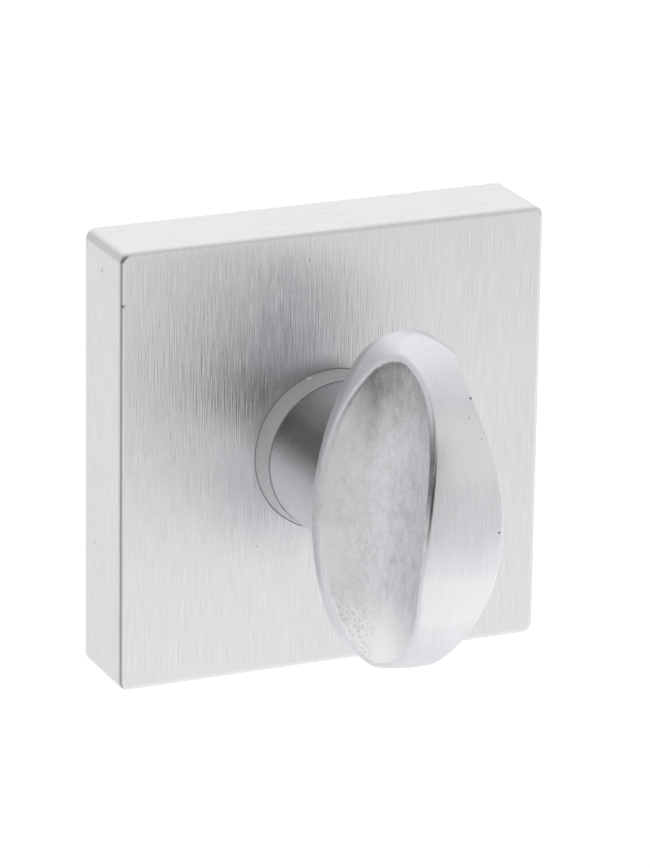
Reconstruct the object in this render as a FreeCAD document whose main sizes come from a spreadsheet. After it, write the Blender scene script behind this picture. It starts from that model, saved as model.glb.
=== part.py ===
import FreeCAD, Part
import Sketcher
import math
import os

from FreeCAD import Placement, Rotation, Vector

# Bathroom thumb turn on a square rose, in millimetres.
# Each piece is drawn as seen from the room: x right, y up, z out of the door from its surface.
# The finished pieces are then stood up: X right, Y into the door, Z up.

doc = FreeCAD.newDocument("thumb_turn")
sheet = doc.addObject("Spreadsheet::Sheet", "sizes")

DRIVING_SIZES = [
    ("cover_width", 50, "square rose, side of the cover"),
    ("cover_depth", 10, "door surface to the front of the cover"),
    ("cover_wall", 1, "sheet of the drawn cover"),
    ("cover_corner_radius", 1.2, "upright corners of the cover"),
    ("cover_edge_radius", 0.6, "front edges of the cover"),
    ("cover_hole_gap", 0.08, "cover to collar, all round"),
    ("base_gap", 0.3, "base plate to the cover's side walls"),
    ("base_front_gap", 0.2, "base plate to the cover's front wall"),
    ("snap_gap", 0.05, "snap ribs to the cover's side walls"),
    ("snap_length", 14, "snap rib along the side"),
    ("snap_height", 1.6, "snap rib across"),
    ("snap_position", 3, "door surface to the snap ribs"),
    ("base_corner_radius", 1.5, "upright corners of the base plate"),
    ("recess_diameter", 24, "hollow for ring and washers behind the base plate"),
    ("core_size", 9, "side of a cored corner pocket"),
    ("core_wall", 2, "outer wall beside a cored pocket"),
    ("core_floor", 2.2, "front wall over a cored pocket"),
    ("core_corner_radius", 1, "corners of a cored pocket"),
    ("screw_spacing", 38, "between the two door screws"),
    ("screw_hole_diameter", 4.4, "clearance hole of a door screw"),
    ("screw_head_diameter", 7.4, "counterbore of a door screw"),
    ("screw_head_depth", 4, "counterbore from the front"),
    ("collar_height", 2.6, "collar in front of the cover"),
    ("collar_base_diameter", 18.3, "collar at the cover"),
    ("collar_tip_diameter", 17.4, "collar at the neck"),
    ("bush_sleeve_diameter", 17.4, "bush in the base plate"),
    ("bush_flange_diameter", 24, "bush under the cover"),
    ("bush_flange_thickness", 2, "bush under the cover"),
    ("flange_gap", 0.2, "bush flange in its seat, all round"),
    ("shaft_diameter", 14, "turning shaft inside the rose"),
    ("running_gap", 0.05, "shaft in the bush, radial"),
    ("shaft_end", 0.8, "door surface to the end of the shaft"),
    ("shaft_land", 0.8, "shaft left behind the ring groove"),
    ("groove_depth", 0.35, "ring groove, radial"),
    ("ring_thickness", 1, "retaining ring"),
    ("ring_gap", 0.1, "retaining ring in its groove, along the shaft"),
    ("ring_width", 2.1, "retaining ring, radial"),
    ("ring_opening", 60, "gap of the retaining ring, degrees"),
    ("lug_diameter", 3.4, "ear of the retaining ring"),
    ("lug_hole_diameter", 1.4, "plier hole in an ear"),
    ("washer_gap", 0.1, "washers on the shaft, radial"),
    ("washer_outer_diameter", 20, "thrust washer"),
    ("washer_thickness", 0.5, "thrust washer"),
    ("wave_outer_diameter", 19.4, "wave washer"),
    ("wave_thickness", 0.3, "wave washer sheet"),
    ("wave_height", 0.9, "wave washer over its crests"),
    ("wave_count", 3, "crests of the wave washer"),
    ("slip_gap", 0.05, "wave washer to thrust washer"),
    ("neck_gap", 0.1, "collar to neck"),
    ("neck_diameter", 17.2, "round neck of the knob"),
    ("head_standoff", 14.6, "cover front to the back of the head"),
    ("head_width", 17.4, "oval head, across"),
    ("head_height", 36.9, "oval head, up"),
    ("oval_end_radius", 5.6, "ends of the oval, front view"),
    ("head_depth", 20.1, "back of the head to the crest of its dome"),
    ("head_back_flat", 25, "flat part of the head's back, up"),
    ("head_corner_radius", 12, "rounding from the back to the ends"),
    ("dome_radius", 18.5, "ball-shaped front of the head"),
    ("web_thickness", 5.2, "head between its two hollows"),
    ("hollow_setback", 11.4, "back of the head to the deepest line of a hollow"),
    ("hollow_front_radius", 15.4, "hollow in front of its deepest line"),
    ("hollow_back_radius", 11.6, "hollow behind its deepest line"),
    ("ridge_radius", 0.6, "edges of the front band"),
    ("rim_radius", 1.1, "edges between hollows and outer wall"),
    ("end_radius", 3.0, "dome into the ends of the oval"),
    ("rest_turn", 4.5, "knob clockwise of upright, degrees"),
    ("spindle_size", 8, "square bar"),
    ("spindle_gap", 0.05, "bar in its socket, each side"),
    ("spindle_grip", 15, "bar inside the shaft"),
    ("spindle_reach", 42, "bar behind the door surface"),
    ("spindle_chamfer", 0.8, "lead on the end of the bar"),
    ("pin_diameter", 3, "cross pin"),
    ("pin_position", 9.5, "door surface to the cross pin"),
    ("pin_gap", 0.02, "cross pin in its holes, radial"),
    ("pin_inset", 0.3, "cross pin below the shaft's skin"),
    ("pin_chamfer", 0.3, "ends of the cross pin"),
]

for row, (alias, number, note) in enumerate(DRIVING_SIZES, start=1):
    sheet.set(f"A{row}", note)
    sheet.set(f"B{row}", str(number))
    sheet.setAlias(f"B{row}", alias)
doc.recompute()

STAND_UP = Rotation(Vector(1, 0, 0), 90)
TOP_VIEW = Rotation(Vector(1, 0, 0), 90)


def size(expression):
    """Value of an expression over the sheet, in millimetres or degrees."""
    found = sheet.evalExpression(expression)
    return float(getattr(found, "Value", found))


def new(kind, name, **bindings):
    """Document object whose properties are bound to the sheet."""
    made = doc.addObject(kind, name)
    for prop, expression in bindings.items():
        made.setExpression(prop, expression)
    return made


def new_sketch(name, rotation):
    """Empty sketch through the middle of the rose's back."""
    sketch = doc.addObject("Sketcher::SketchObject", name)
    sketch.Placement = Placement(Vector(), rotation)
    return sketch


def pin_point(sketch, geometry, end, across, along):
    """Tie a point of a sketch to two expressions, measured from the sketch's origin."""
    for kind, axis, expression in (("DistanceX", -2, across), ("DistanceY", -1, along)):
        if expression == "0":
            sketch.addConstraint(Sketcher.Constraint("PointOnObject", geometry, end, axis))
            continue
        number = sketch.addConstraint(
            Sketcher.Constraint(kind, -1, 1, geometry, end, size(expression)))
        sketch.setExpression(f"Constraints[{number}]", expression)


def outline(name, corners):
    """Closed straight-sided sketch in radius and depth, every corner tied to the sheet."""
    sketch = new_sketch(name, TOP_VIEW)
    points = [Vector(size(across), size(along), 0) for across, along in corners]
    for start, stop in zip(points, points[1:] + points[:1]):
        sketch.addGeometry(Part.LineSegment(start, stop))
    for index, (across, along) in enumerate(corners):
        following = (index + 1) % len(corners)
        sketch.addConstraint(Sketcher.Constraint("Coincident", index, 2, following, 1))
        pin_point(sketch, index, 1, across, along)
    return sketch


def revolve(name, corners):
    """Solid turned about the shaft's axis, from corners given as radius and depth."""
    turned = doc.addObject("Part::Revolution", name)
    turned.Source = outline(f"{name}_profile", corners)
    turned.Axis = Vector(0, 0, 1)
    turned.Angle = 360
    turned.Solid = True
    return turned


def extrude(name, sketch, length, both_ways=False):
    """Solid along a sketch's own normal."""
    solid = new("Part::Extrusion", name, LengthFwd=length)
    solid.Base = sketch
    solid.DirMode = "Normal"
    solid.Symmetric = both_ways
    solid.Solid = True
    return solid


def block(name, width, height, depth, back="0"):
    """Box centred on the shaft's axis, standing on the given depth."""
    made = new("Part::Box", name, Length=width, Width=height, Height=depth)
    made.setExpression("Placement.Base.x", f"-({width}) / 2")
    made.setExpression("Placement.Base.y", f"-({height}) / 2")
    made.setExpression("Placement.Base.z", back)
    return made


def rod(name, diameter, length, back="0", across="0"):
    """Round bar along the shaft's axis."""
    made = new("Part::Cylinder", name, Radius=f"({diameter}) / 2", Height=length)
    made.setExpression("Placement.Base.x", across)
    made.setExpression("Placement.Base.z", back)
    return made


def fuse(name, pieces):
    made = doc.addObject("Part::MultiFuse", name)
    made.Shapes = pieces
    made.Refine = True
    return made


def cut(name, base, tool):
    made = doc.addObject("Part::Cut", name)
    made.Base = base
    made.Tool = tool
    made.Refine = True
    return made


def common(name, base, tool):
    made = doc.addObject("Part::Common", name)
    made.Base = base
    made.Tool = tool
    return made


def mirrored(name, source, normal):
    made = doc.addObject("Part::Mirroring", name)
    made.Source = source
    made.Normal = normal
    return made


def rounded(name, base, choices, kind="Part::Fillet"):
    """Round or chamfer the edges that each choice picks, by the size named beside it."""
    doc.recompute()
    made = doc.addObject(kind, name)
    made.Base = base
    made.Edges = [
        (number, size(radius), size(radius))
        for number, edge in enumerate(base.Shape.Edges, start=1)
        for picks, radius in choices
        if picks(base.Shape, edge)
    ]
    return made


def finish(piece, label, turned=False):
    """Name a piece and stand it up. The turning pieces rest clockwise of upright."""
    piece.Label = label
    turn = Rotation(Vector(0, 0, 1), -size("sizes.rest_turn") if turned else 0)
    piece.Placement = Placement(Vector(), STAND_UP * turn)
    return piece


def runs_out(shape, edge):
    """Straight edge square to the door."""
    if not isinstance(edge.Curve, Part.Line):
        return False
    return abs(edge.Curve.Direction.z) > 0.99


def lies_in_front(shape, edge):
    """Edge lying wholly in the foremost plane of a shape."""
    return edge.BoundBox.ZMin > shape.BoundBox.ZMax - 1e-4


def lies_behind(shape, edge):
    """Edge lying wholly in the rearmost plane of a shape."""
    return edge.BoundBox.ZMax < shape.BoundBox.ZMin + 1e-4


def runs_across_behind(shape, edge):
    """Straight edge across the rearmost plane of a shape."""
    return lies_behind(shape, edge) and abs(edge.Curve.Direction.x) > 0.99


def is_round(shape, edge):
    return isinstance(edge.Curve, Part.Circle)


# Depths that several pieces share, counted out of the door
COVER_FACE_BACK = "sizes.cover_depth - sizes.cover_wall"
BASE_FRONT = f"{COVER_FACE_BACK} - sizes.base_front_gap"
BASE_WIDTH = "sizes.cover_width - 2 * (sizes.cover_wall + sizes.base_gap)"
FLANGE_BACK = f"{COVER_FACE_BACK} - sizes.bush_flange_thickness"
GROOVE_BACK = "sizes.shaft_end + sizes.shaft_land"
RING_FRONT = f"{GROOVE_BACK} + sizes.ring_thickness"
WAVE_FRONT = f"{RING_FRONT} + sizes.wave_height"
WASHER_BACK = f"{WAVE_FRONT} + sizes.slip_gap"
BUSH_BACK = f"{WASHER_BACK} + sizes.washer_thickness"
COLLAR_TIP = "sizes.cover_depth + sizes.collar_height"
NECK_BACK = f"{COLLAR_TIP} + sizes.neck_gap"
HEAD_BACK = "sizes.cover_depth + sizes.head_standoff"
DOME_CREST = f"{HEAD_BACK} + sizes.head_depth"
DOME_CENTRE = f"{DOME_CREST} - sizes.dome_radius"
HOLLOW_LINE = f"{HEAD_BACK} + sizes.hollow_setback"
OVAL_SIDE_RADIUS = (
    "(sizes.head_width ^ 2 / 4 + (sizes.head_height / 2 - sizes.oval_end_radius) ^ 2"
    " - sizes.oval_end_radius ^ 2) / (sizes.head_width - 2 * sizes.oval_end_radius)")

# Rose cover, drawn from sheet and open behind
cover_block = block("cover_block", "sizes.cover_width", "sizes.cover_width", "sizes.cover_depth")
cover_corners = rounded("cover_corners", cover_block, [(runs_out, "sizes.cover_corner_radius")])
cover_outside = rounded("cover_outside", cover_corners, [(lies_in_front, "sizes.cover_edge_radius")])
COVER_INSIDE = "sizes.cover_width - 2 * sizes.cover_wall"
cover_cavity = block("cover_cavity", COVER_INSIDE, COVER_INSIDE, COVER_FACE_BACK)
cover_hole = rod(
    "cover_hole", "sizes.collar_base_diameter + 2 * sizes.cover_hole_gap", "sizes.cover_depth")
rose_cover = cut("rose_cover", cover_outside, fuse("cover_space", [cover_cavity, cover_hole]))
finish(rose_cover, "rose_cover")

# Base plate, moulded, with its ribs, pockets and screw holes
base_block = block("base_block", BASE_WIDTH, BASE_WIDTH, BASE_FRONT)
base_body = rounded("base_body", base_block, [(runs_out, "sizes.base_corner_radius")])
SNAP_SPAN = f"{COVER_INSIDE} - 2 * sizes.snap_gap"
snap_ribs = fuse("snap_ribs", [
    block("snap_across", SNAP_SPAN, "sizes.snap_length", "sizes.snap_height", "sizes.snap_position"),
    block("snap_upright", "sizes.snap_length", SNAP_SPAN, "sizes.snap_height", "sizes.snap_position"),
])
base_solid = fuse("base_solid", [base_body, snap_ribs])

core_block = new(
    "Part::Box", "core_block", Length="sizes.core_size", Width="sizes.core_size",
    Height=f"{BASE_FRONT} - sizes.core_floor")
CORE_START = f"({BASE_WIDTH}) / 2 - sizes.core_wall - sizes.core_size"
core_block.setExpression("Placement.Base.x", CORE_START)
core_block.setExpression("Placement.Base.y", CORE_START)
core_right_top = rounded("core_right_top", core_block, [(runs_out, "sizes.core_corner_radius")])

core_left_top = mirrored("core_left_top", core_right_top, Vector(1, 0, 0))
core_right_low = mirrored("core_right_low", core_right_top, Vector(0, 1, 0))
core_left_low = mirrored("core_left_low", core_left_top, Vector(0, 1, 0))

SCREW_RIGHT = "sizes.screw_spacing / 2"
SCREW_LEFT = "-sizes.screw_spacing / 2"
HEAD_SEAT = f"{BASE_FRONT} - sizes.screw_head_depth"
screw_spaces = [
    rod("screw_hole_right", "sizes.screw_hole_diameter", BASE_FRONT, "0", SCREW_RIGHT),
    rod("screw_hole_left", "sizes.screw_hole_diameter", BASE_FRONT, "0", SCREW_LEFT),
    rod("screw_seat_right", "sizes.screw_head_diameter", "sizes.screw_head_depth", HEAD_SEAT, SCREW_RIGHT),
    rod("screw_seat_left", "sizes.screw_head_diameter", "sizes.screw_head_depth", HEAD_SEAT, SCREW_LEFT),
]
bush_spaces = [
    rod("ring_recess", "sizes.recess_diameter", BUSH_BACK),
    rod("sleeve_bore", "sizes.bush_sleeve_diameter", BASE_FRONT),
    rod("flange_seat", "sizes.bush_flange_diameter + 2 * sizes.flange_gap",
        "sizes.bush_flange_thickness", FLANGE_BACK),
]
cores = [core_right_top, core_left_top, core_right_low, core_left_low]
base_plate = cut("base_plate", base_solid, fuse("base_spaces", cores + screw_spaces + bush_spaces))
finish(base_plate, "base_plate")

# Guide bush, turned from nylon
BUSH_BORE_RADIUS = "sizes.shaft_diameter / 2 + sizes.running_gap"
guide_bush = revolve("guide_bush", [
    (BUSH_BORE_RADIUS, BUSH_BACK),
    ("sizes.bush_sleeve_diameter / 2", BUSH_BACK),
    ("sizes.bush_sleeve_diameter / 2", FLANGE_BACK),
    ("sizes.bush_flange_diameter / 2", FLANGE_BACK),
    ("sizes.bush_flange_diameter / 2", COVER_FACE_BACK),
    ("sizes.collar_base_diameter / 2", COVER_FACE_BACK),
    ("sizes.collar_base_diameter / 2", "sizes.cover_depth"),
    ("sizes.collar_tip_diameter / 2", COLLAR_TIP),
    (BUSH_BORE_RADIUS, COLLAR_TIP),
])
finish(guide_bush, "guide_bush")

# Thrust washer behind the bush
WASHER_BORE_RADIUS = "sizes.shaft_diameter / 2 + sizes.washer_gap"
thrust_washer = revolve("thrust_washer", [
    (WASHER_BORE_RADIUS, WASHER_BACK),
    ("sizes.washer_outer_diameter / 2", WASHER_BACK),
    ("sizes.washer_outer_diameter / 2", BUSH_BACK),
    (WASHER_BORE_RADIUS, BUSH_BACK),
])
finish(thrust_washer, "thrust_washer")


# Turn knob: oval head with a ball-shaped front, hollowed left and right
def oval_view():
    """Upper half of the head's oval, seen from the front: an end arc between two side arcs."""
    sketch = new_sketch("head_oval", Rotation())
    sketch.setExpression("Placement.Base.z", HEAD_BACK)
    end_rise = "(sizes.head_height / 2 - sizes.oval_end_radius)"
    end = size("sizes.oval_end_radius")
    side = size(OVAL_SIDE_RADIUS)
    rise = size(end_rise)
    half_width = size("sizes.head_width / 2")
    shift = side - half_width
    lean = math.atan2(rise, shift)
    for centre, radius, start, stop in (
        (Vector(-shift, 0, 0), side, 0, lean),
        (Vector(0, rise, 0), end, lean, math.pi - lean),
        (Vector(shift, 0, 0), side, math.pi - lean, math.pi),
    ):
        circle = Part.Circle(centre, Vector(0, 0, 1), radius)
        sketch.addGeometry(Part.ArcOfCircle(circle, start, stop))
    sketch.addGeometry(Part.LineSegment(Vector(-half_width, 0, 0), Vector(half_width, 0, 0)))
    for relation in (
        ("Tangent", 0, 2, 1, 1),
        ("Tangent", 1, 2, 2, 1),
        ("Coincident", 2, 2, 3, 1),
        ("Coincident", 3, 2, 0, 1),
        ("Equal", 0, 2),
        ("PointOnObject", 0, 3, -1),
        ("PointOnObject", 2, 3, -1),
        ("PointOnObject", 3, 1, -1),
        ("PointOnObject", 3, 2, -1),
    ):
        sketch.addConstraint(Sketcher.Constraint(*relation))
    pin_point(sketch, 1, 3, "0", end_rise)
    for arc, radius in ((0, OVAL_SIDE_RADIUS), (1, "sizes.oval_end_radius")):
        number = sketch.addConstraint(Sketcher.Constraint("Radius", arc, size(radius)))
        sketch.setExpression(f"Constraints[{number}]", radius)
    return sketch


oval_upper = extrude("oval_upper", oval_view(), "sizes.head_depth")
oval_lower = mirrored("oval_lower", oval_upper, Vector(0, 1, 0))
oval_prism = fuse("oval_prism", [oval_upper, oval_lower])

# Back of the head flat with rounded ends, front of the head part of a ball
HEAD_SPAN = "sizes.head_back_flat + 2 * sizes.head_corner_radius"
back_block = block("back_block", "2 * sizes.head_width", HEAD_SPAN, "2 * sizes.head_depth", HEAD_BACK)
back_shape = rounded("back_shape", back_block, [(runs_across_behind, "sizes.head_corner_radius")])
dome_ball = new("Part::Sphere", "dome_ball", Radius="sizes.dome_radius")
dome_ball.Placement = Placement(Vector(), Rotation(Vector(0, 1, 0), 90))
dome_ball.setExpression("Placement.Base.z", DOME_CENTRE)
head_blank = common("head_blank", common("head_backed", oval_prism, back_shape), dome_ball)


def hollow_view():
    """Space of the right hollow, in across and out: two arcs that meet at its deepest line."""
    sketch = new_sketch("hollow_view", TOP_VIEW)
    web = size("sizes.web_thickness / 2")
    line = size(HOLLOW_LINE)
    front = size("sizes.hollow_front_radius")
    back = size("sizes.hollow_back_radius")
    beyond = "sizes.head_width"
    top = f"{DOME_CREST} + sizes.ridge_radius"
    lean = math.asin((size(top) - line) / front)
    front_end = Vector(web + front - front * math.cos(lean), size(top), 0)
    back_end = Vector(web + back, line - back, 0)
    front_circle = Part.Circle(Vector(web + front, line, 0), Vector(0, 0, 1), front)
    back_circle = Part.Circle(Vector(web + back, line, 0), Vector(0, 0, 1), back)
    far_top = Vector(size(beyond), size(top), 0)
    far_low = Vector(size(beyond), line - back, 0)
    sketch.addGeometry(Part.ArcOfCircle(front_circle, math.pi - lean, math.pi))
    sketch.addGeometry(Part.ArcOfCircle(back_circle, math.pi, 1.5 * math.pi))
    sketch.addGeometry(Part.LineSegment(back_end, far_low))
    sketch.addGeometry(Part.LineSegment(far_low, far_top))
    sketch.addGeometry(Part.LineSegment(far_top, front_end))
    for relation in (
        ("Tangent", 0, 2, 1, 1),
        ("Tangent", 1, 2, 2, 1),
        ("Coincident", 2, 2, 3, 1),
        ("Coincident", 3, 2, 4, 1),
        ("Coincident", 4, 2, 0, 1),
        ("Horizontal", 2),
        ("Vertical", 3),
        ("Horizontal", 4),
    ):
        sketch.addConstraint(Sketcher.Constraint(*relation))
    pin_point(sketch, 1, 1, "sizes.web_thickness / 2", HOLLOW_LINE)
    pin_point(sketch, 3, 2, beyond, top)
    for arc, radius in ((0, "sizes.hollow_front_radius"), (1, "sizes.hollow_back_radius")):
        number = sketch.addConstraint(Sketcher.Constraint("Radius", arc, size(radius)))
        sketch.setExpression(f"Constraints[{number}]", radius)
    return sketch


hollow_right = extrude("hollow_right", hollow_view(), "2 * sizes.head_height", True)
hollow_left = mirrored("hollow_left", hollow_right, Vector(1, 0, 0))
head_hollowed = cut("head_hollowed", head_blank, fuse("hollows", [hollow_right, hollow_left]))


def face_kind(face):
    """Which part of the head a face belongs to."""
    surface = face.Surface
    if isinstance(surface, Part.Plane):
        return "back"
    if isinstance(surface, Part.Sphere):
        return "dome"
    if abs(surface.Axis.x) > 0.5:
        return "corner"
    return "wall" if abs(surface.Axis.z) > 0.5 else "hollow"


def between(first, second):
    def picks(shape, edge):
        kinds = sorted(face_kind(face) for face in shape.ancestorsOfType(edge, Part.Face))
        return kinds == sorted((first, second))
    return picks


head = rounded("head", head_hollowed, [
    (between("dome", "hollow"), "sizes.ridge_radius"),
    (between("wall", "hollow"), "sizes.rim_radius"),
    (between("dome", "wall"), "sizes.end_radius"),
])

# Turn knob: neck and shaft with the ring groove
SHAFT_RADIUS = "sizes.shaft_diameter / 2"
GROOVE_RADIUS = f"{SHAFT_RADIUS} - sizes.groove_depth"
GROOVE_FRONT = f"{RING_FRONT} + sizes.ring_gap"
NECK_TOP = f"{HEAD_BACK} + sizes.rim_radius"
neck = revolve("neck", [
    ("0", "sizes.shaft_end"),
    (SHAFT_RADIUS, "sizes.shaft_end"),
    (SHAFT_RADIUS, GROOVE_BACK),
    (GROOVE_RADIUS, GROOVE_BACK),
    (GROOVE_RADIUS, GROOVE_FRONT),
    (SHAFT_RADIUS, GROOVE_FRONT),
    (SHAFT_RADIUS, NECK_BACK),
    ("sizes.neck_diameter / 2", NECK_BACK),
    ("sizes.neck_diameter / 2", NECK_TOP),
    ("0", NECK_TOP),
])
SOCKET_SIZE = "sizes.spindle_size + 2 * sizes.spindle_gap"
socket = block("socket", SOCKET_SIZE, SOCKET_SIZE, "sizes.spindle_grip", "sizes.shaft_end")


def cross_rod(name, diameter, length):
    """Round bar across the shaft at the cross pin's place."""
    made = new("Part::Cylinder", name, Radius=f"({diameter}) / 2", Height=length)
    made.Placement = Placement(Vector(), Rotation(Vector(0, 1, 0), 90))
    made.setExpression("Placement.Base.x", f"-({length}) / 2")
    made.setExpression("Placement.Base.z", "sizes.pin_position")
    return made


PIN_HOLE = "sizes.pin_diameter + 2 * sizes.pin_gap"
shaft_pin_hole = cross_rod("shaft_pin_hole", PIN_HOLE, "2 * sizes.shaft_diameter")
turn_knob = cut(
    "turn_knob", fuse("knob_blank", [head, neck]), fuse("knob_spaces", [socket, shaft_pin_hole]))
finish(turn_knob, "turn_knob", turned=True)

# Spindle and the pin that keeps it
SPINDLE_BACK = "-sizes.spindle_reach"
spindle_bar = block(
    "spindle_bar", "sizes.spindle_size", "sizes.spindle_size",
    "sizes.spindle_reach + sizes.shaft_end + sizes.spindle_grip", SPINDLE_BACK)
spindle_lead = rounded(
    "spindle_lead", spindle_bar, [(lies_behind, "sizes.spindle_chamfer")], "Part::Chamfer")
spindle = cut("spindle", spindle_lead, cross_rod("spindle_pin_hole", PIN_HOLE, "2 * sizes.spindle_size"))
finish(spindle, "spindle", turned=True)

pin_bar = cross_rod("pin_bar", "sizes.pin_diameter", "sizes.shaft_diameter - 2 * sizes.pin_inset")
spindle_pin = rounded("spindle_pin", pin_bar, [(is_round, "sizes.pin_chamfer")], "Part::Chamfer")
finish(spindle_pin, "spindle_pin", turned=True)

# Retaining ring with two ears and plier holes
RING_OUTER_RADIUS = f"{GROOVE_RADIUS} + sizes.ring_width"
ring_sweep = revolve("ring_sweep", [
    (GROOVE_RADIUS, GROOVE_BACK),
    (RING_OUTER_RADIUS, GROOVE_BACK),
    (RING_OUTER_RADIUS, RING_FRONT),
    (GROOVE_RADIUS, RING_FRONT),
])
ring_sweep.setExpression("Angle", "360 - sizes.ring_opening")
EAR_RADIUS = f"{RING_OUTER_RADIUS} + sizes.lug_diameter / 4"


def ear_piece(name, diameter, angle):
    """Bar through one ear of the ring."""
    made = rod(name, diameter, "sizes.ring_thickness", GROOVE_BACK)
    made.setExpression("Placement.Base.x", f"({EAR_RADIUS}) * cos(({angle}) * 1 deg)")
    made.setExpression("Placement.Base.y", f"({EAR_RADIUS}) * sin(({angle}) * 1 deg)")
    return made


EAR_TURN = "asin(sizes.lug_diameter / 2 / (" + EAR_RADIUS + ")) / 1 deg"
FIRST_EAR = EAR_TURN
SECOND_EAR = f"360 - sizes.ring_opening - {EAR_TURN}"
ring_solid = fuse("ring_solid", [
    ring_sweep,
    ear_piece("first_ear", "sizes.lug_diameter", FIRST_EAR),
    ear_piece("second_ear", "sizes.lug_diameter", SECOND_EAR),
])
ring_holes = fuse("ring_holes", [
    ear_piece("first_plier_hole", "sizes.lug_hole_diameter", FIRST_EAR),
    ear_piece("second_plier_hole", "sizes.lug_hole_diameter", SECOND_EAR),
])
retaining_ring = cut("retaining_ring", ring_solid, ring_holes)
finish(retaining_ring, "retaining_ring", turned=True)


def wave_shape():
    """Washer of even thickness that rises and falls round the shaft."""
    inner = size(WASHER_BORE_RADIUS)
    outer = size("sizes.wave_outer_diameter / 2")
    thickness = size("sizes.wave_thickness")
    swing = (size("sizes.wave_height") - thickness) / 2
    middle = size(f"{RING_FRONT} + sizes.wave_height / 2")
    count = size("sizes.wave_count")
    steps = 12 * int(count)

    def loop(radius, offset):
        points = []
        for step in range(steps):
            angle = 2 * math.pi * step / steps
            height = middle + offset + swing * math.cos(count * angle)
            points.append(Vector(radius * math.cos(angle), radius * math.sin(angle), height))
        curve = Part.BSplineCurve()
        curve.interpolate(points, PeriodicFlag=True)
        return curve.toShape()

    low_in, low_out = loop(inner, -thickness / 2), loop(outer, -thickness / 2)
    high_in, high_out = loop(inner, thickness / 2), loop(outer, thickness / 2)
    faces = [
        Part.makeRuledSurface(first, second)
        for first, second in ((low_in, low_out), (low_out, high_out), (high_out, high_in), (high_in, low_in))
    ]
    shell = Part.makeShell(faces)
    shell.sewShape()
    solid = Part.makeSolid(shell)
    if solid.Volume < 0:
        solid.reverse()
    return solid


# Wave washer between retaining ring and thrust washer
wave_washer = doc.addObject("Part::Feature", "wave_washer")
wave_washer.Shape = wave_shape()
finish(wave_washer, "wave_washer", turned=True)

doc.recompute()

PIECES = [
    rose_cover, base_plate, guide_bush, thrust_washer,
    turn_knob, spindle, spindle_pin, retaining_ring, wave_washer,
]
for made in doc.Objects:
    if "Invalid" in made.State or "Error" in made.State:
        raise ValueError(f"{made.Name} did not compute: {made.State}")

os.makedirs("parts", exist_ok=True)
for piece in PIECES:
    if piece.Shape.isNull() or not piece.Shape.isValid():
        raise ValueError(f"{piece.Label} has no sound shape")
    piece.Shape.exportStep(f"parts/{piece.Label}.step")
    box = piece.Shape.BoundBox
    print(f"{piece.Label}: {len(piece.Shape.Solids)} solid, {piece.Shape.Volume:.1f} mm3,",
          f"x {box.XMin:.2f} {box.XMax:.2f}, y {box.YMin:.2f} {box.YMax:.2f}, z {box.ZMin:.2f} {box.ZMax:.2f}")
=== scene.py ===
"""Looks, light and camera of a bathroom thumb turn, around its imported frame."""
import math

import bpy
from mathutils import Matrix, Vector


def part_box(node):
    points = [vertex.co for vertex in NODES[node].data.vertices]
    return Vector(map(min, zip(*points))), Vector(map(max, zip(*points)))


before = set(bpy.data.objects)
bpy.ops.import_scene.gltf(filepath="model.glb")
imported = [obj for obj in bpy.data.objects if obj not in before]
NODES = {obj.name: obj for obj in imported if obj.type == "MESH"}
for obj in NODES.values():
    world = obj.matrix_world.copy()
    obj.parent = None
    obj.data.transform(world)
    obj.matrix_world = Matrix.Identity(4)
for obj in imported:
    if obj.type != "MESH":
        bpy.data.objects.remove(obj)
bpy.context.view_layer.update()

MM = 0.001
COVER_LOW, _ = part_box("rose_cover")
KNOB_LOW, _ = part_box("turn_knob")

INTO_DOOR = (0.0, 1.0, 0.0)
KNOB_TURN = math.radians(4.5)      # the knob rests this far clockwise of upright
HEAD_STANDOFF = 14.6 * MM          # from the plate's front to the back of the knob's head
HEAD_BACK = COVER_LOW.y - HEAD_STANDOFF
BALL_RADIUS = 18.5 * MM            # ball-shaped front of the head
BALL_MIDDLE = Vector((0.0, KNOB_LOW.y + BALL_RADIUS, 0.0))

# Camera, as the photograph sees the rose
IMAGE_HEIGHT = 868                 # pixels
FOCAL_PIXELS = 5504.8
SENSOR = 36.0                      # millimetres, as the camera counts them
AIM = Vector((-0.90, -10.0, 1.81)) * MM
CAMERA_DISTANCE = 600.7 * MM
CAMERA_AZIMUTH = math.radians(-23.95)
CAMERA_ELEVATION = math.radians(18.966)
CAMERA_ROLL = math.radians(0.844)
NEAREST_SEEN = 0.01                # metres

# Studio: a white table that ends in front of the rose, and a room darker on the photographer's side
FLOOR_DROP = 150 * MM
FLOOR_SIZE = 4.0
FLOOR_FRONT = -480 * MM
LAMP_SIZE = (1.2, 0.8)             # metres, as its place
LAMP_PLACE = (0.45, 0.7, 1.0)
LAMP_WATTS = 8.5
ROOM_GREY = 0.72
BACK_GREY = 0.95
DARK_GREY = 0.015

# Windows of the room in degrees: start, full, fade, end. The dark one leans over as it rises
FRONT_ACROSS = (-190, -150, 100, 140)
DARK_ACROSS = (-84, -62, -33, -8)
DARK_UP = (-13, 0, 42, 58)
DARK_LEAN = -0.8

# Darkest and lightest tone of each material
COVER_TONES = ((0.78, 0.78, 0.792, 1), (0.97, 0.97, 0.986, 1))
KNOB_TONES = ((0.75, 0.747, 0.778, 1), (0.92, 0.917, 0.95, 1))
NYLON_TONES = ((0.65, 0.648, 0.675, 1), (0.75, 0.748, 0.775, 1))
MOULDING_TONES = ((0.030, 0.030, 0.032, 1), (0.052, 0.052, 0.055, 1))
PLATED_TONES = ((0.46, 0.47, 0.48, 1), (0.62, 0.63, 0.64, 1))
SPRING_TONES = ((0.10, 0.10, 0.105, 1), (0.20, 0.20, 0.205, 1))
FLOOR_TONES = ((0.95, 0.95, 0.95, 1), (0.97, 0.97, 0.97, 1))

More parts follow.
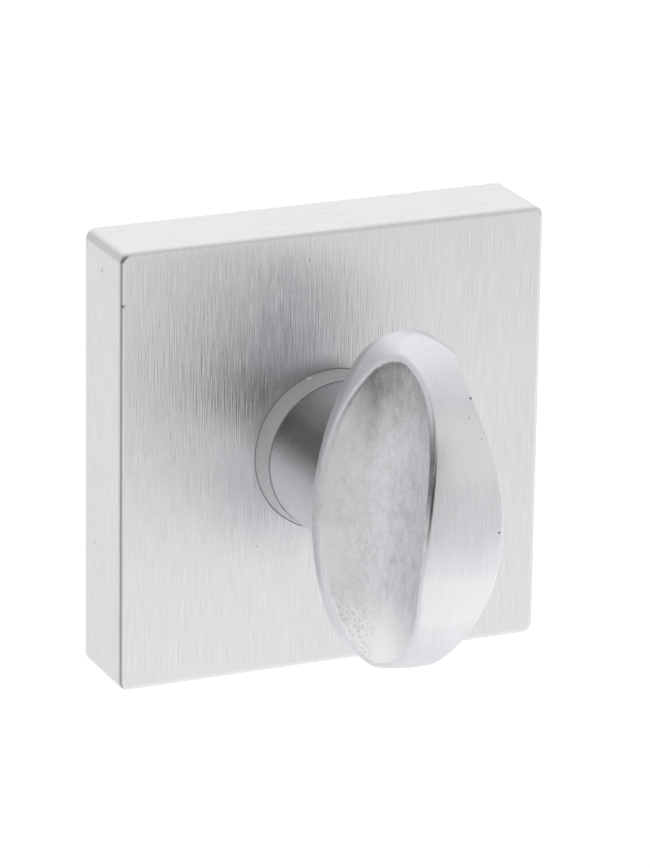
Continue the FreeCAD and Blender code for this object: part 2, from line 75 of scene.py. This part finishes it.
# Colours of wear, and of painted light and shade
BLACK = (0.0, 0.0, 0.0, 1)
WHITE = (1.0, 1.0, 1.0, 1)
TOP_PAINTED_LIGHT = (0.985, 0.985, 0.998, 1)
LIGHTER_METAL = (0.975, 0.973, 0.99, 1)
BLASTED_LIGHT = (0.96, 0.957, 0.985, 1)
BLASTED_DARK = (0.30, 0.30, 0.31, 1)
HOLLOW_SHADE_DARK = (0.30, 0.30, 0.315, 1)
SMUDGE = (0.30, 0.29, 0.29, 1)
SHADE_AND_PIT_DARK = (0.25, 0.25, 0.25, 1)
EDGE_REFLECTION_DARK = (0.08, 0.08, 0.083, 1)
PAINTED_DARK = (0.05, 0.05, 0.053, 1)
COLLAR_SHADE_DARK = (0.02, 0.02, 0.022, 1)
MARK_COLOUR = (0.03, 0.03, 0.032, 1)
CHIP_COLOUR = (0.92, 0.92, 0.93, 1)
SHADE_CURVE = 1.3                 # more than 1 holds the painted shade back lower down
# Painted dark reflection on the neck, and more of it on the neck's left
NECK_PAINTED_DARK = 0.23
NECK_REFLECTION_DARK = 0.24                # on top of the neck's own

# Roughness
COVER_ROUGHNESS = 0.30
COVER_EDGE_ROUGHNESS = 0.5
BLASTED_ROUGHNESS = 0.56
FOOT_ROUGHNESS = 0.36
BAND_ROUGHNESS = 0.32
NECK_ROUGHNESS = 0.27
SCUFFED_ROUGHNESS = 0.42
NYLON_ROUGHNESS = 0.45
MOULDING_ROUGHNESS = 0.5
PLATED_ROUGHNESS = 0.32
SPRING_ROUGHNESS = 0.38
FLOOR_ROUGHNESS = 0.9

# Ways that the cover is brushed, as colours
UPRIGHT_LINES = (0.0, 0.0, 1.0, 1)
LEVEL_LINES = (1.0, 0.0, 0.0, 1)
FACES_UP_FROM = 0.7

# Small marks: place and radius in millimetres, depth of tone
MARK_CORE = 0.5                    # share of the radius that has the full tone
COVER_MARKS = (
    ((-24.6, -9.9, 19.1), 0.28, 0.6),
    ((-25.0, -4.8, 21.7), 0.34, 0.35),
    ((-25.0, -2.9, -10.0), 0.40, 0.15),
    ((-8.9, -10.0, -10.2), 0.15, 0.35),
    ((-3.0, -10.0, 21.9), 0.16, 0.4),
)
COLLAR_CHIPS = (
    ((-3.05, -10.25, 8.58), 0.34, 0.8),
)
KNOB_MARKS = (
    ((3.4, -37.7, 14.1), 0.22, 0.85),
    ((3.9, -44.2, 1.3), 0.18, 0.85),
    ((3.2, -41.0, 10.7), 0.16, 0.3),
    ((2.4, -39.5, 12.6), 0.16, 0.3),
)

# Most of a noise texture lies between these values
NOISE_LOW = 0.25
NOISE_HIGH = 0.75


def grey(level):
    return (level, level, level, 1)


def direction(azimuth, elevation):
    """Unit vector from the rose towards a place in the room. Azimuth 0 is straight in front."""
    flat = math.cos(elevation)
    return Vector((flat * math.sin(azimuth), -flat * math.cos(azimuth), math.sin(elevation)))


class Graph:
    """Short hand for wiring shader nodes."""

    def __init__(self, tree):
        self.tree = tree
        tree.nodes.clear()

    def node(self, kind, inputs=None, **settings):
        made = self.tree.nodes.new(kind)
        for name, value in settings.items():
            setattr(made, name, value)
        for key, value in (inputs or {}).items():
            if isinstance(value, bpy.types.NodeSocket):
                self.tree.links.new(value, made.inputs[key])
            else:
                made.inputs[key].default_value = value
        return made

    def math(self, operation, first, second=0.0, third=0.0, clamp=False):
        made = self.node("ShaderNodeMath", {0: first, 1: second, 2: third}, operation=operation)
        made.use_clamp = clamp
        return made.outputs[0]

    def size(self, value):
        return self.math("ABSOLUTE", value)

    def product(self, first, *others):
        for other in others:
            first = self.math("MULTIPLY", first, other)
        return first

    def plus(self, value, more, share):
        """A value and a share of another one."""
        return self.math("MULTIPLY_ADD", more, share, value)

    def split(self, vector):
        """Parts of a vector along X, Y and Z."""
        return tuple(self.node("ShaderNodeSeparateXYZ", {0: vector}).outputs)

    def distance(self, place, centre):
        made = self.node("ShaderNodeVectorMath", {0: place, 1: centre}, operation="DISTANCE")
        return made.outputs["Value"]

    def ramp(self, value, start, full):
        """0 at start, 1 at full, smooth between, whichever of the two is larger."""
        made = self.node(
            "ShaderNodeMapRange", {"Value": value, "From Min": start, "From Max": full},
            interpolation_type="SMOOTHSTEP")
        return made.outputs["Result"]

    def band(self, value, start, full, fade, end):
        """1 from full to fade, smooth to 0 at start and at end."""
        return self.product(self.ramp(value, start, full), self.ramp(value, end, fade))

    def spread(self, noise, low, high):
        """Noise mapped to a range."""
        made = self.node(
            "ShaderNodeMapRange",
            {"Value": noise, "From Min": NOISE_LOW, "From Max": NOISE_HIGH, "To Min": low, "To Max": high})
        return made.outputs["Result"]

    def sway(self, noise, reach):
        """Noise mapped to as much below 0 as above."""
        return self.spread(noise, low=-reach, high=reach)

    def grain(self, place, cells, turn=0.0, detail=2.0, roughness=0.5):
        """Noise with its own number of cells per metre along each axis."""
        mapped = self.node(
            "ShaderNodeMapping", {"Vector": place, "Rotation": (0.0, turn, 0.0), "Scale": cells})
        made = self.node(
            "ShaderNodeTexNoise",
            {"Vector": mapped.outputs[0], "Scale": 1.0, "Detail": detail, "Roughness": roughness})
        return made.outputs["Fac"]

    def blend(self, mask, off, on):
        """One value where the mask is 0, the other where it is 1."""
        made = self.node("ShaderNodeMix", {0: mask, 2: off, 3: on}, data_type="FLOAT")
        return made.outputs[0]

    def colour(self, mask, off, on):
        """One colour where the mask is 0, the other where it is 1."""
        made = self.node("ShaderNodeMix", {0: mask, 6: off, 7: on}, data_type="RGBA")
        return made.outputs[2]

    def shade(self, tone, dark, light):
        """Colour from dark to light as the tone goes from -1 to 1."""
        return self.colour(self.math("MULTIPLY_ADD", tone, 0.5, 0.5, clamp=True), dark, light)

    def tint(self, base, colour, *masks, strength=1.0):
        """Base with a colour mixed in where all the masks are high."""
        return self.colour(self.product(*masks, strength), base, colour)

    def marks(self, base, place, marks, colour):
        """Base with small round marks on it."""
        for centre, radius, depth in marks:
            gap = self.distance(place, Vector(centre) * MM)
            within = self.ramp(gap, start=radius * MM, full=MARK_CORE * radius * MM)
            base = self.tint(base, colour, within, strength=depth)
        return base


def new_material(name):
    made = bpy.data.materials.new(name)
    made.use_nodes = True
    return made, Graph(made.node_tree)


def finish_material(g, base, roughness, relief, strength, depth, more=None):
    """Wire colour, roughness and relief into the shader. The relief's depth is in millimetres."""
    bump = g.node("ShaderNodeBump", {"Strength": strength, "Distance": depth * MM, "Height": relief})
    inputs = {"Base Color": base, "Roughness": roughness, "Normal": bump.outputs[0]}
    shader = g.node("ShaderNodeBsdfPrincipled", {**inputs, **(more or {})})
    g.node("ShaderNodeOutputMaterial", {"Surface": shader.outputs[0]})


def dress(name, material):
    """Give a CAD node one material."""
    mesh = NODES[name].data
    mesh.materials.clear()
    mesh.materials.append(material)


def collar_corner_shade(g, place):
    """Mask of the plate's corner with the collar, on the upper left, for painted shadow and dark reflection.
    """
    right, _, up = g.split(place)
    flat = g.node("ShaderNodeCombineXYZ", {"X": right, "Z": up})
    away = g.node("ShaderNodeVectorMath", {0: flat.outputs[0]}, operation="LENGTH")
    return g.product(
        g.ramp(away.outputs["Value"], start=11.4 * MM, full=9.2 * MM),
        g.ramp(up, start=0.0, full=4.0 * MM), g.ramp(right, start=4.0 * MM, full=0.0))


def cover_material():
    """Drawn stainless sheet, brushed up and down on its front and along its length on top."""
    made, g = new_material("brushed_cover")
    coords = g.node("ShaderNodeTexCoord")
    place = coords.outputs["Object"]
    normal = coords.outputs["Normal"]
    faces_right, faces_back, faces_up = g.split(normal)
    is_side = g.ramp(g.size(faces_right), start=0.6, full=0.8)
    is_top = g.ramp(g.size(faces_up), start=0.6, full=0.8)

    def brush_lines(across, along):
        """Noise drawn out along the brushing of each face, in cells per metre."""
        front = g.grain(place, cells=(across, 0.0, along))
        side = g.grain(place, cells=(0.0, across, along))
        top = g.grain(place, cells=(along, across, 0.0))
        return g.blend(is_top, g.blend(is_side, front, side), top)

    fine = brush_lines(across=7000.0, along=210.0)
    broad = brush_lines(across=1500.0, along=80.0)
    cloud = g.grain(place, cells=(70.0, 70.0, 45.0), detail=3.0)
    tone = g.math("ADD", g.sway(fine, reach=0.8), g.sway(broad, reach=0.12))
    tone = g.math("ADD", tone, g.sway(cloud, reach=0.25))
    base = g.shade(tone, *COVER_TONES)
    # Painted shade on the side faces and painted light on the top faces
    base = g.tint(base, BLACK, is_side, strength=0.12)
    base = g.tint(base, TOP_PAINTED_LIGHT, is_top, strength=0.35)
    left_edge = g.product(
        g.ramp(faces_right, start=-0.3, full=-0.55), g.ramp(faces_back, start=-0.5, full=-0.75))
    base = g.tint(base, BLACK, left_edge, strength=0.5)
    base = g.marks(base, place, COVER_MARKS, MARK_COLOUR)
    # Painted shadow and dark reflection in the plate's corner with the collar
    base = g.tint(base, COLLAR_SHADE_DARK, collar_corner_shade(g, place), strength=0.3)

    # Rounded edges carry no brush lines and are duller than the flat faces
    squarest = g.math("MAXIMUM", g.size(faces_right), g.size(faces_up))
    squarest = g.math("MAXIMUM", squarest, g.size(faces_back))
    relief = g.product(g.plus(fine, broad, share=0.1), g.ramp(squarest, start=0.93, full=0.995))
    flat_roughness = g.plus(COVER_ROUGHNESS, tone, share=0.06)
    is_flat = g.ramp(squarest, start=0.70, full=0.90)
    rough = g.blend(is_flat, off=COVER_EDGE_ROUGHNESS, on=flat_roughness)

    upward = g.math("GREATER_THAN", g.size(faces_up), FACES_UP_FROM)
    lines = g.colour(upward, UPRIGHT_LINES, LEVEL_LINES)
    across = g.node("ShaderNodeVectorMath", {0: normal, 1: lines}, operation="CROSS_PRODUCT")
    finish_material(
        g, base, rough, relief, strength=1.0, depth=0.047,
        more={"Metallic": 1.0, "Anisotropic": 0.6, "Tangent": across.outputs[0]})
    return made


class KnobSurface:
    """Where a point of the knob lies and faces, with the knob set upright, and the grain of its metal."""

    def __init__(self, g):
        self.g = g
        coords = g.node("ShaderNodeTexCoord")
        self.place = coords.outputs["Object"]
        _, self.inward, self.up = g.split(self.upright(self.place))
        self.faces_right, faces_back, self.faces_up = g.split(self.upright(coords.outputs["Normal"]))
        self.faces_front = g.math("MULTIPLY", faces_back, -1.0)
        self.find_zones()
        self.find_grain()

    def upright(self, vector):
        turned = self.g.node(
            "ShaderNodeVectorRotate", {"Vector": vector, "Axis": INTO_DOOR, "Angle": -KNOB_TURN})
        return turned.outputs[0]

    def rising(self, start, full):
        """Ramp over height, in millimetres."""
        return self.g.ramp(self.up, start * MM, full * MM)

    def between(self, start, full, fade, end):
        """Band of heights, in millimetres."""
        return self.g.band(self.up, start * MM, full * MM, fade * MM, end * MM)

    def going_in(self, start, full):
        """Ramp along the way into the door, in millimetres from its surface."""
        return self.g.ramp(self.inward, start * MM, full * MM)

    def find_zones(self):
        """Front band, head, both hollows, the hollow that the photograph shows, and its lower end."""
        g = self.g
        self.in_front = g.ramp(self.faces_front, start=0.55, full=0.8)
        self.in_head = g.ramp(self.inward, start=HEAD_BACK + 1.0 * MM, full=HEAD_BACK - 1.0 * MM)
        sideways = g.product(self.faces_right, self.faces_right)
        level = g.ramp(g.size(self.faces_up), start=0.2, full=0.06)
        self.in_hollow = g.product(self.in_head, level, g.ramp(sideways, start=0.2, full=0.5))
        self.in_seen = g.product(self.in_hollow, g.ramp(self.faces_right, start=-0.05, full=-0.2))
        self.at_foot = g.product(self.in_seen, self.rising(start=-8.0, full=-15.0))

    def find_grain(self):
        """Brush lines of the front band, blasted pits elsewhere, and smudges."""
        g = self.g
        brushed = g.grain(self.place, cells=(4200.0, 0.0, 170.0), turn=-KNOB_TURN)
        patch = g.grain(self.place, cells=(260.0, 260.0, 180.0), detail=3.0)
        self.pits = g.grain(self.place, cells=(2600.0, 2600.0, 2600.0), detail=3.0, roughness=0.65)
        self.smudge = g.grain(
            self.place, cells=(900.0, 900.0, 520.0), turn=0.5, detail=6.0, roughness=0.72)
        self.grit = g.blend(self.in_front, self.pits, brushed)
        tone = g.math("ADD", g.sway(self.grit, reach=0.6), g.sway(patch, reach=0.35))
        self.tone = g.product(tone, g.blend(self.in_head, off=0.2, on=1.0))


def tint_hollow(knob, base):
    """Blasted grain in both hollows. The seen one is light and mottled, with painted shade at its upper end
    and on its front part.
    """
    g = knob.g
    base = g.tint(base, BLASTED_LIGHT, knob.in_seen, strength=0.45)
    # Painted shade at the upper end of the seen hollow
    climb = g.math("POWER", knob.rising(start=4.0, full=19.0), SHADE_CURVE)
    hollow_top_shade = g.product(knob.in_seen, climb, g.spread(knob.smudge, low=0.35, high=0.75))
    more_behind = g.blend(knob.going_in(start=-35.0, full=-31.0), off=0.8, on=1.25)
    hollow_top_shade = g.math("MULTIPLY", hollow_top_shade, more_behind, clamp=True)
    base = g.tint(base, PAINTED_DARK, hollow_top_shade)
    base = g.tint(base, SMUDGE, knob.in_seen, g.spread(knob.smudge, low=-0.12, high=0.22))
    base = g.tint(base, BLASTED_DARK, knob.in_hollow, g.spread(knob.pits, low=-0.1, high=0.22))
    # Painted shade on the front part of the seen hollow, around its middle height
    hollow_front_shade = g.product(
        knob.in_seen, knob.going_in(start=-31.0, full=-34.0),
        knob.between(start=-11.0, full=-7.0, fade=4.0, end=10.0))
    return g.tint(base, HOLLOW_SHADE_DARK, hollow_front_shade, g.spread(knob.smudge, low=0.02, high=0.28))


def paint_edge_reflections(knob, base):
    """Painted dark reflection on the head's left edge and along the ridge between the hollow and the front
    band.
    """
    g = knob.g
    # Painted dark reflection on the head's left edge
    at_edge = g.product(
        g.ramp(knob.faces_front, start=0.42, full=0.62), g.ramp(knob.faces_right, start=-0.35, full=-0.55),
        knob.in_head, knob.rising(start=4.0, full=13.0))
    base = g.tint(base, EDGE_REFLECTION_DARK, at_edge, g.spread(knob.smudge, low=0.3, high=0.6))
    # Painted dark reflection along the ridge
    from_middle = g.distance(knob.place, BALL_MIDDLE)
    by_ridge = g.product(
        g.ramp(from_middle, start=BALL_RADIUS - 1.5 * MM, full=BALL_RADIUS - 0.6 * MM),
        g.ramp(knob.faces_right, start=-0.25, full=-0.55),
        knob.between(start=2.0, full=6.0, fade=9.0, end=14.0))
    return g.tint(base, PAINTED_DARK, by_ridge, g.spread(knob.smudge, low=0.5, high=0.85))


def tint_foot(knob, base):
    """Lower end: painted shade on the front band, and painted light that makes the hollow bright, with
    pitting in it.
    """
    g = knob.g
    # Painted shade on the front band's lower end
    band_foot_shade = g.product(knob.in_front, knob.rising(start=-10.0, full=-15.0))
    base = g.tint(base, SHADE_AND_PIT_DARK, band_foot_shade, g.spread(knob.smudge, low=0.0, high=0.3))
    # Painted light on the lower end of the seen hollow
    base = g.tint(base, LIGHTER_METAL, knob.at_foot, strength=0.95)
    pitting = g.product(
        g.ramp(knob.pits, start=0.46, full=0.66), knob.rising(start=-9.5, full=-12.5),
        knob.in_seen, knob.going_in(start=-33.0, full=-30.0))
    return g.tint(base, SHADE_AND_PIT_DARK, pitting, strength=0.3)


def tint_band_and_neck(knob, base):
    """Front band lighter above and below its middle, painted shade on the back rim, and painted dark
    reflection on the neck, more on its left.
    """
    g = knob.g
    above = knob.between(start=5.5, full=8.5, fade=12.0, end=14.5)
    below = knob.between(start=-10.5, full=-8.0, fade=-4.0, end=-2.0)
    base = g.tint(base, LIGHTER_METAL, knob.in_front, g.math("ADD", above, below), strength=0.55)
    # Painted shade on the back rim of the head, above its lower end
    at_back = g.product(
        knob.in_head, g.ramp(knob.inward, start=HEAD_BACK - 1.8 * MM, full=HEAD_BACK - 0.8 * MM),
        knob.rising(start=-12.0, full=-8.0))
    base = g.tint(base, BLACK, at_back, strength=0.2)
    # Painted dark reflection on the neck, darker on its left
    neck_dark_reflection = g.product(
        knob.between(start=2.2, full=3.8, fade=4.8, end=6.2), g.ramp(knob.faces_right, start=-0.4, full=-0.7))
    neck_painted_dark = g.plus(NECK_PAINTED_DARK, neck_dark_reflection, share=NECK_REFLECTION_DARK)
    return g.tint(base, BLACK, g.blend(knob.in_head, off=neck_painted_dark, on=0.0))


def knob_material():
    """Cast knob: blasted hollows, brushed front band, satin neck."""
    made, g = new_material("satin_knob")
    knob = KnobSurface(g)
    base = g.shade(knob.tone, *KNOB_TONES)
    # The tints overlap, so their order counts
    for tint in (tint_hollow, paint_edge_reflections, tint_foot, tint_band_and_neck):
        base = tint(knob, base)
    base = g.marks(base, knob.place, KNOB_MARKS, MARK_COLOUR)
    polished = g.math("MAXIMUM", knob.in_front, g.ramp(knob.faces_up, start=0.6, full=0.85))
    hollow = g.blend(knob.at_foot, off=BLASTED_ROUGHNESS, on=FOOT_ROUGHNESS)
    head = g.blend(polished, off=hollow, on=BAND_ROUGHNESS)
    neck = g.blend(knob.rising(start=6.0, full=8.0), off=NECK_ROUGHNESS, on=SCUFFED_ROUGHNESS)
    rough = g.plus(g.blend(knob.in_head, off=neck, on=head), knob.tone, share=0.05)
    relief = g.product(knob.grit, g.blend(knob.in_head, off=0.02, on=1.0))
    finish_material(g, base, rough, relief, strength=0.4, depth=0.02, more={"Metallic": 1.0})
    return made


def nylon_material():
    """Pale bush with painted shade that darkens it towards its top, and a light chip on the collar's upper
    edge.
    """
    made, g = new_material("bush_nylon")
    place = g.node("ShaderNodeTexCoord").outputs["Object"]
    speckle = g.grain(place, cells=(1500.0, 1500.0, 1500.0), detail=3.0)
    patch = g.grain(place, cells=(180.0, 180.0, 180.0))
    tone = g.math("ADD", g.sway(speckle, reach=0.3), g.sway(patch, reach=0.4))
    base = g.shade(tone, *NYLON_TONES)
    _, _, up = g.split(place)
    # Painted shade, darker towards the top
    base = g.tint(base, BLACK, g.ramp(up, start=-7.0 * MM, full=9.0 * MM), strength=0.17)
    base = g.marks(base, place, COLLAR_CHIPS, CHIP_COLOUR)
    finish_material(g, base, NYLON_ROUGHNESS, speckle, strength=0.15, depth=0.01)
    return made


def moulding_material():
    """Dark moulded plastic of the base plate."""
    made, g = new_material("base_moulding")
    place = g.node("ShaderNodeTexCoord").outputs["Object"]
    texture = g.grain(place, cells=(2200.0, 2200.0, 2200.0), detail=3.0)
    patch = g.grain(place, cells=(120.0, 120.0, 120.0))
    tone = g.math("ADD", g.sway(texture, reach=0.3), g.sway(patch, reach=0.4))
    base = g.shade(tone, *MOULDING_TONES)
    finish_material(g, base, MOULDING_ROUGHNESS, texture, strength=0.3, depth=0.02)
    return made


def hidden_steel(name, tones, roughness, cells):
    """Drawn or stamped steel of the inner pieces and the spindle."""
    made, g = new_material(name)
    place = g.node("ShaderNodeTexCoord").outputs["Object"]
    lines = g.grain(place, cells, turn=-KNOB_TURN)
    patch = g.grain(place, cells=(240.0, 160.0, 240.0), detail=3.0)
    tone = g.math("ADD", g.sway(lines, reach=0.5), g.sway(patch, reach=0.4))
    base = g.shade(tone, *tones)
    rough = g.plus(roughness, tone, share=0.06)
    finish_material(g, base, rough, lines, strength=0.2, depth=0.01, more={"Metallic": 1.0})
    return made


def dress_all():
    plated = hidden_steel("plated_steel", PLATED_TONES, PLATED_ROUGHNESS, cells=(3600.0, 90.0, 3600.0))
    spring = hidden_steel("spring_steel", SPRING_TONES, SPRING_ROUGHNESS, cells=(2400.0, 2400.0, 2400.0))
    finishes = {
        "rose_cover": cover_material(),
        "turn_knob": knob_material(),
        "guide_bush": nylon_material(),
        "base_plate": moulding_material(),
        "thrust_washer": plated,
        "spindle": plated,
        "spindle_pin": plated,
        "retaining_ring": spring,
        "wave_washer": spring,
    }
    for name, material in finishes.items():
        dress(name, material)


def add_floor():
    middle = FLOOR_FRONT + FLOOR_SIZE / 2
    bpy.ops.mesh.primitive_plane_add(size=FLOOR_SIZE, location=(0.0, middle, COVER_LOW.z - FLOOR_DROP))
    floor = bpy.context.object
    floor.name = "studio_floor"
    made, g = new_material("studio_floor")
    place = g.node("ShaderNodeTexCoord").outputs["Object"]
    base = g.colour(g.grain(place, cells=(30.0, 30.0, 30.0)), *FLOOR_TONES)
    shader = g.node(
        "ShaderNodeBsdfPrincipled",
        {"Base Color": base, "Roughness": FLOOR_ROUGHNESS, "Specular IOR Level": 0.0})
    g.node("ShaderNodeOutputMaterial", {"Surface": shader.outputs[0]})
    floor.data.materials.append(made)


def paint_room():
    """Room that is pale behind, grey in front and dark on the left. The camera itself sees plain white."""
    world = bpy.data.worlds.new("studio")
    bpy.context.scene.world = world
    world.use_nodes = True
    g = Graph(world.node_tree)
    right, back, rise = g.split(g.node("ShaderNodeTexCoord").outputs["Generated"])
    across = g.math("ARCTAN2", right, g.math("MULTIPLY", back, -1.0))
    up = g.math("ARCSINE", rise)
    leaning = g.plus(across, up, share=DARK_LEAN)

    def window(angle, degrees):
        return g.band(angle, *(math.radians(degree) for degree in degrees))

    hidden = g.math("SUBTRACT", 1.0, g.node("ShaderNodeLightPath").outputs["Is Camera Ray"])
    room = g.tint(WHITE, grey(BACK_GREY), hidden)
    room = g.tint(room, grey(ROOM_GREY), window(across, FRONT_ACROSS), hidden)
    room = g.tint(room, grey(DARK_GREY), window(leaning, DARK_ACROSS), window(up, DARK_UP), hidden)
    background = g.node("ShaderNodeBackground", {"Color": room, "Strength": 1.0})
    g.node("ShaderNodeOutputWorld", {"Surface": background.outputs[0]})


def add_lamp():
    """Soft lamp above and behind. Reflections leave it out."""
    lamp = bpy.data.lights.new("top_softbox", "AREA")
    lamp.shape = "RECTANGLE"
    lamp.size, lamp.size_y = LAMP_SIZE
    lamp.energy = LAMP_WATTS
    placed = bpy.data.objects.new("top_softbox", lamp)
    placed.visible_glossy = False
    placed.location = LAMP_PLACE
    placed.rotation_euler = (-placed.location).to_track_quat("-Z", "Y").to_euler()
    bpy.context.scene.collection.objects.link(placed)


def add_camera():
    data = bpy.data.cameras.new("photo_camera")
    data.sensor_width = SENSOR
    data.lens = FOCAL_PIXELS * SENSOR / IMAGE_HEIGHT
    data.clip_start = NEAREST_SEEN
    camera = bpy.data.objects.new("photo_camera", data)
    away = direction(CAMERA_AZIMUTH, CAMERA_ELEVATION)
    camera.location = AIM + away * CAMERA_DISTANCE
    level = (-away).to_track_quat("-Z", "Y")
    camera.rotation_mode = "QUATERNION"
    camera.rotation_quaternion = level @ Matrix.Rotation(CAMERA_ROLL, 3, "Z").to_quaternion()
    bpy.context.scene.collection.objects.link(camera)
    bpy.context.scene.camera = camera


add_camera()
dress_all()
add_floor()
paint_room()
add_lamp()
bpy.context.scene.view_settings.view_transform = "Standard"
